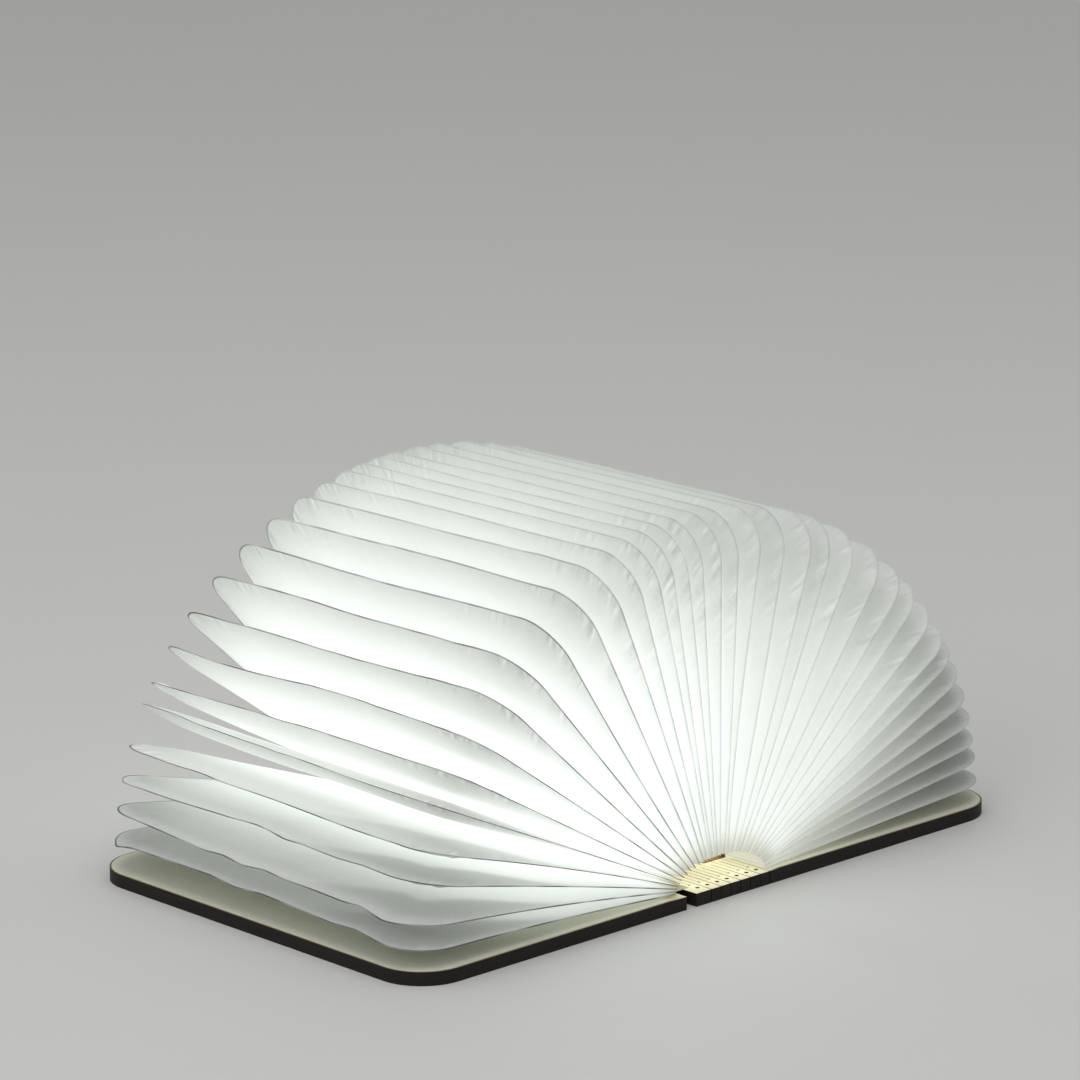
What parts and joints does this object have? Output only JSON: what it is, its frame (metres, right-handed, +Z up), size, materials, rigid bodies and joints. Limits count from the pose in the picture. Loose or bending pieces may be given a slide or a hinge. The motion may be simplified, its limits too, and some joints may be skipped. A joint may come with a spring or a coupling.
{
  "type": "folding book lamp",
  "caption": "Book-shaped lamp lying open: two wooden covers on a lattice-cut spine, with a half-round fan of glowing paper leaves between them",
  "frame": {"origin": "on the table, under the middle of the open book, halfway along the spine", "axes": "+X across the open book towards the right cover, +Y along the spine away from the viewer, +Z up"},
  "size_m": [0.356, 0.215, 0.1675],
  "materials": {
    "board": "walnut-stained laser-cut board with burnt edges",
    "spine_board": "bare light wood, laser-cut, lit from above",
    "paper": "translucent white spun-bonded paper, lit from inside",
    "carrier_wood": "light wood with scorched ends",
    "circuit_tape": "white flexible circuit",
    "led_phosphor": "emissive light-emitting chips with yellow phosphor",
    "cell_foil": "aluminium foil pouch",
    "circuit_board": "green solder mask",
    "plated_steel": "nickel-plated steel",
    "black_plastic": "black moulded plastic",
    "wire_sleeve": "soft insulated wire"
  },
  "bodies": {
    "spine": {"spine_core": "spine_board", "spine_left_strip": "spine_board", "spine_right_strip": "spine_board", "hinge_tape": "paper", "pleat_root": "paper", "led_carrier": "carrier_wood", "carrier_rails": "carrier_wood", "led_tape": "circuit_tape", "led_chips": "led_phosphor", "battery_cell": "cell_foil", "charging_board": "circuit_board", "charging_socket": "plated_steel", "magnet_sensor": "black_plastic", "battery_leads": "wire_sleeve", "led_leads": "wire_sleeve", "leaf_18": "paper"},
    "left_cover": {"left_cover": "board", "left_end_sheet": "paper", "left_magnets": "plated_steel", "sensor_magnet": "plated_steel"},
    "right_cover": {"right_cover": "board", "right_end_sheet": "paper", "right_magnets": "plated_steel"},
    "leaf_01": {"leaf_01": "paper"},
    "leaf_02": {"leaf_02": "paper"},
    "leaf_03": {"leaf_03": "paper"},
    "leaf_04": {"leaf_04": "paper"},
    "leaf_05": {"leaf_05": "paper"},
    "leaf_06": {"leaf_06": "paper"},
    "leaf_07": {"leaf_07": "paper"},
    "leaf_08": {"leaf_08": "paper"},
    "leaf_09": {"leaf_09": "paper"},
    "leaf_10": {"leaf_10": "paper"},
    "leaf_11": {"leaf_11": "paper"},
    "leaf_12": {"leaf_12": "paper"},
    "leaf_13": {"leaf_13": "paper"},
    "leaf_14": {"leaf_14": "paper"},
    "leaf_15": {"leaf_15": "paper"},
    "leaf_16": {"leaf_16": "paper"},
    "leaf_17": {"leaf_17": "paper"},
    "leaf_19": {"leaf_19": "paper"},
    "leaf_20": {"leaf_20": "paper"},
    "leaf_21": {"leaf_21": "paper"},
    "leaf_22": {"leaf_22": "paper"},
    "leaf_23": {"leaf_23": "paper"},
    "leaf_24": {"leaf_24": "paper"},
    "leaf_25": {"leaf_25": "paper"},
    "leaf_26": {"leaf_26": "paper"},
    "leaf_27": {"leaf_27": "paper"},
    "leaf_28": {"leaf_28": "paper"},
    "leaf_29": {"leaf_29": "paper"},
    "leaf_30": {"leaf_30": "paper"},
    "leaf_31": {"leaf_31": "paper"},
    "leaf_32": {"leaf_32": "paper"},
    "leaf_33": {"leaf_33": "paper"},
    "leaf_34": {"leaf_34": "paper"},
    "leaf_35": {"leaf_35": "paper"},
    "leaf_36": {"leaf_36": "paper"}
  },
  "joints": [
    {"name": "left_cover_hinge", "type": "hinge", "parent": "spine", "child": "left_cover", "pos_m": [-0.01332, 0, 0.00418], "axis": [0, 1, 0], "range_deg": [-90, 90], "deforming": ["spine_left_strip", "hinge_tape", "pleat_root"]},
    {"name": "right_cover_hinge", "type": "hinge", "parent": "spine", "child": "right_cover", "pos_m": [0.01332, 0, 0.00418], "axis": [0, -1, 0], "range_deg": [-90, 90], "deforming": ["spine_right_strip", "pleat_root"]},
    {"name": "leaf_01_fold", "type": "hinge", "parent": "spine", "child": "leaf_01", "pos_m": [-0.01273, 0, 0.00402], "axis": [0, 1, 0], "range_deg": [-85.19, 85.19]},
    {"name": "leaf_02_fold", "type": "hinge", "parent": "spine", "child": "leaf_02", "pos_m": [-0.01232, 0, 0.00354], "axis": [0, 1, 0], "range_deg": [-80.28, 80.28]},
    {"name": "leaf_03_fold", "type": "hinge", "parent": "spine", "child": "leaf_03", "pos_m": [-0.01186, 0, 0.00306], "axis": [0, 1, 0], "range_deg": [-75.33, 75.33]},
    {"name": "leaf_04_fold", "type": "hinge", "parent": "spine", "child": "leaf_04", "pos_m": [-0.01134, 0, 0.00258], "axis": [0, 1, 0], "range_deg": [-70.31, 70.31]},
    {"name": "leaf_05_fold", "type": "hinge", "parent": "spine", "child": "leaf_05", "pos_m": [-0.01077, 0, 0.00212], "axis": [0, 1, 0], "range_deg": [-65.14, 65.14]},
    {"name": "leaf_06_fold", "type": "hinge", "parent": "spine", "child": "leaf_06", "pos_m": [-0.01012, 0, 0.00167], "axis": [0, 1, 0], "range_deg": [-59.71, 59.71]},
    {"name": "leaf_07_fold", "type": "hinge", "parent": "spine", "child": "leaf_07", "pos_m": [-0.0094, 0, 0.00128], "axis": [0, 1, 0], "range_deg": [-53.89, 53.89]},
    {"name": "leaf_08_fold", "type": "hinge", "parent": "spine", "child": "leaf_08", "pos_m": [-0.00857, 0, 0.00099], "axis": [0, 1, 0], "range_deg": [-47.62, 47.62]},
    {"name": "leaf_09_fold", "type": "hinge", "parent": "spine", "child": "leaf_09", "pos_m": [-0.00766, 0, 0.00087], "axis": [0, 1, 0], "range_deg": [-40.96, 40.96]},
    {"name": "leaf_10_fold", "type": "hinge", "parent": "spine", "child": "leaf_10", "pos_m": [-0.00666, 0, 0.001], "axis": [0, 1, 0], "range_deg": [-34.19, 34.19]},
    {"name": "leaf_11_fold", "type": "hinge", "parent": "spine", "child": "leaf_11", "pos_m": [-0.00566, 0, 0.0014], "axis": [0, 1, 0], "range_deg": [-27.72, 27.72]},
    {"name": "leaf_12_fold", "type": "hinge", "parent": "spine", "child": "leaf_12", "pos_m": [-0.0047, 0, 0.00202], "axis": [0, 1, 0], "range_deg": [-22.02, 22.02]},
    {"name": "leaf_13_fold", "type": "hinge", "parent": "spine", "child": "leaf_13", "pos_m": [-0.00383, 0, 0.00264], "axis": [0, 1, 0], "range_deg": [-17.32, 17.32]},
    {"name": "leaf_14_fold", "type": "hinge", "parent": "spine", "child": "leaf_14", "pos_m": [-0.00307, 0, 0.00305], "axis": [0, 1, 0], "range_deg": [-13.56, 13.56]},
    {"name": "leaf_15_fold", "type": "hinge", "parent": "spine", "child": "leaf_15", "pos_m": [-0.00237, 0, 0.00316], "axis": [0, 1, 0], "range_deg": [-10.39, 10.39]},
    {"name": "leaf_16_fold", "type": "hinge", "parent": "spine", "child": "leaf_16", "pos_m": [-0.00169, 0, 0.00324], "axis": [0, 1, 0], "range_deg": [-7.34, 7.34]},
    {"name": "leaf_17_fold", "type": "hinge", "parent": "spine", "child": "leaf_17", "pos_m": [-0.00097, 0, 0.00439], "axis": [0, 1, 0], "range_deg": [-4.02, 4.02]},
    {"name": "leaf_19_fold", "type": "hinge", "parent": "spine", "child": "leaf_19", "pos_m": [0.00066, 0, -0.00462], "axis": [0, -1, 0], "range_deg": [-4.1, 4.1]},
    {"name": "leaf_20_fold", "type": "hinge", "parent": "spine", "child": "leaf_20", "pos_m": [0.00156, 0, -0.00285], "axis": [0, -1, 0], "range_deg": [-8.86, 8.86]},
    {"name": "leaf_21_fold", "type": "hinge", "parent": "spine", "child": "leaf_21", "pos_m": [0.0025, 0, -0.00239], "axis": [0, -1, 0], "range_deg": [-13.97, 13.97]},
    {"name": "leaf_22_fold", "type": "hinge", "parent": "spine", "child": "leaf_22", "pos_m": [0.00345, 0, -0.00214], "axis": [0, -1, 0], "range_deg": [-19.36, 19.36]},
    {"name": "leaf_23_fold", "type": "hinge", "parent": "spine", "child": "leaf_23", "pos_m": [0.00441, 0, -0.00192], "axis": [0, -1, 0], "range_deg": [-25, 25]},
    {"name": "leaf_24_fold", "type": "hinge", "parent": "spine", "child": "leaf_24", "pos_m": [0.00537, 0, -0.00165], "axis": [0, -1, 0], "range_deg": [-30.8, 30.8]},
    {"name": "leaf_25_fold", "type": "hinge", "parent": "spine", "child": "leaf_25", "pos_m": [0.0063, 0, -0.00131], "axis": [0, -1, 0], "range_deg": [-36.67, 36.67]},
    {"name": "leaf_26_fold", "type": "hinge", "parent": "spine", "child": "leaf_26", "pos_m": [0.00718, 0, -0.00091], "axis": [0, -1, 0], "range_deg": [-42.5, 42.5]},
    {"name": "leaf_27_fold", "type": "hinge", "parent": "spine", "child": "leaf_27", "pos_m": [0.00799, 0, -0.00045], "axis": [0, -1, 0], "range_deg": [-48.12, 48.12]},
    {"name": "leaf_28_fold", "type": "hinge", "parent": "spine", "child": "leaf_28", "pos_m": [0.00874, 0, 0.00006], "axis": [0, -1, 0], "range_deg": [-53.43, 53.43]},
    {"name": "leaf_29_fold", "type": "hinge", "parent": "spine", "child": "leaf_29", "pos_m": [0.00941, 0, 0.00059], "axis": [0, -1, 0], "range_deg": [-58.33, 58.33]},
    {"name": "leaf_30_fold", "type": "hinge", "parent": "spine", "child": "leaf_30", "pos_m": [0.01001, 0, 0.00112], "axis": [0, -1, 0], "range_deg": [-62.83, 62.83]},
    {"name": "leaf_31_fold", "type": "hinge", "parent": "spine", "child": "leaf_31", "pos_m": [0.01056, 0, 0.00164], "axis": [0, -1, 0], "range_deg": [-67.01, 67.01]},
    {"name": "leaf_32_fold", "type": "hinge", "parent": "spine", "child": "leaf_32", "pos_m": [0.01106, 0, 0.00215], "axis": [0, -1, 0], "range_deg": [-70.99, 70.99]},
    {"name": "leaf_33_fold", "type": "hinge", "parent": "spine", "child": "leaf_33", "pos_m": [0.01153, 0, 0.00265], "axis": [0, -1, 0], "range_deg": [-74.92, 74.92]},
    {"name": "leaf_34_fold", "type": "hinge", "parent": "spine", "child": "leaf_34", "pos_m": [0.01197, 0, 0.00314], "axis": [0, -1, 0], "range_deg": [-78.91, 78.91]},
    {"name": "leaf_35_fold", "type": "hinge", "parent": "spine", "child": "leaf_35", "pos_m": [0.01238, 0, 0.00361], "axis": [0, -1, 0], "range_deg": [-83.06, 83.06]},
    {"name": "leaf_36_fold", "type": "hinge", "parent": "spine", "child": "leaf_36", "pos_m": [0.01275, 0, 0.00408], "axis": [0, -1, 0], "range_deg": [-87.38, 87.38]}
  ],
  "couplings": [
    {"joint": "leaf_01_fold", "follows": "left_cover_hinge", "ratio": 0.94659},
    {"joint": "leaf_02_fold", "follows": "left_cover_hinge", "ratio": 0.89194},
    {"joint": "leaf_03_fold", "follows": "left_cover_hinge", "ratio": 0.83695},
    {"joint": "leaf_04_fold", "follows": "left_cover_hinge", "ratio": 0.78116},
    {"joint": "leaf_05_fold", "follows": "left_cover_hinge", "ratio": 0.72372},
    {"joint": "leaf_06_fold", "follows": "left_cover_hinge", "ratio": 0.66339},
    {"joint": "leaf_07_fold", "follows": "left_cover_hinge", "ratio": 0.59879},
    {"joint": "leaf_08_fold", "follows": "left_cover_hinge", "ratio": 0.52911},
    {"joint": "leaf_09_fold", "follows": "left_cover_hinge", "ratio": 0.45512},
    {"joint": "leaf_10_fold", "follows": "left_cover_hinge", "ratio": 0.37982},
    {"joint": "leaf_11_fold", "follows": "left_cover_hinge", "ratio": 0.30801},
    {"joint": "leaf_12_fold", "follows": "left_cover_hinge", "ratio": 0.24461},
    {"joint": "leaf_13_fold", "follows": "left_cover_hinge", "ratio": 0.19243},
    {"joint": "leaf_14_fold", "follows": "left_cover_hinge", "ratio": 0.15069},
    {"joint": "leaf_15_fold", "follows": "left_cover_hinge", "ratio": 0.11548},
    {"joint": "leaf_16_fold", "follows": "left_cover_hinge", "ratio": 0.081569},
    {"joint": "leaf_17_fold", "follows": "left_cover_hinge", "ratio": 0.044625},
    {"joint": "leaf_19_fold", "follows": "right_cover_hinge", "ratio": 0.045559},
    {"joint": "leaf_20_fold", "follows": "right_cover_hinge", "ratio": 0.09839},
    {"joint": "leaf_21_fold", "follows": "right_cover_hinge", "ratio": 0.15518},
    {"joint": "leaf_22_fold", "follows": "right_cover_hinge", "ratio": 0.21515},
    {"joint": "leaf_23_fold", "follows": "right_cover_hinge", "ratio": 0.27772},
    {"joint": "leaf_24_fold", "follows": "right_cover_hinge", "ratio": 0.34217},
    {"joint": "leaf_25_fold", "follows": "right_cover_hinge", "ratio": 0.40746},
    {"joint": "leaf_26_fold", "follows": "right_cover_hinge", "ratio": 0.47217},
    {"joint": "leaf_27_fold", "follows": "right_cover_hinge", "ratio": 0.5347},
    {"joint": "leaf_28_fold", "follows": "right_cover_hinge", "ratio": 0.59361},
    {"joint": "leaf_29_fold", "follows": "right_cover_hinge", "ratio": 0.64809},
    {"joint": "leaf_30_fold", "follows": "right_cover_hinge", "ratio": 0.69812},
    {"joint": "leaf_31_fold", "follows": "right_cover_hinge", "ratio": 0.74455},
    {"joint": "leaf_32_fold", "follows": "right_cover_hinge", "ratio": 0.78879},
    {"joint": "leaf_33_fold", "follows": "right_cover_hinge", "ratio": 0.83241},
    {"joint": "leaf_34_fold", "follows": "right_cover_hinge", "ratio": 0.8768},
    {"joint": "leaf_35_fold", "follows": "right_cover_hinge", "ratio": 0.92284},
    {"joint": "leaf_36_fold", "follows": "right_cover_hinge", "ratio": 0.9709}
  ]
}
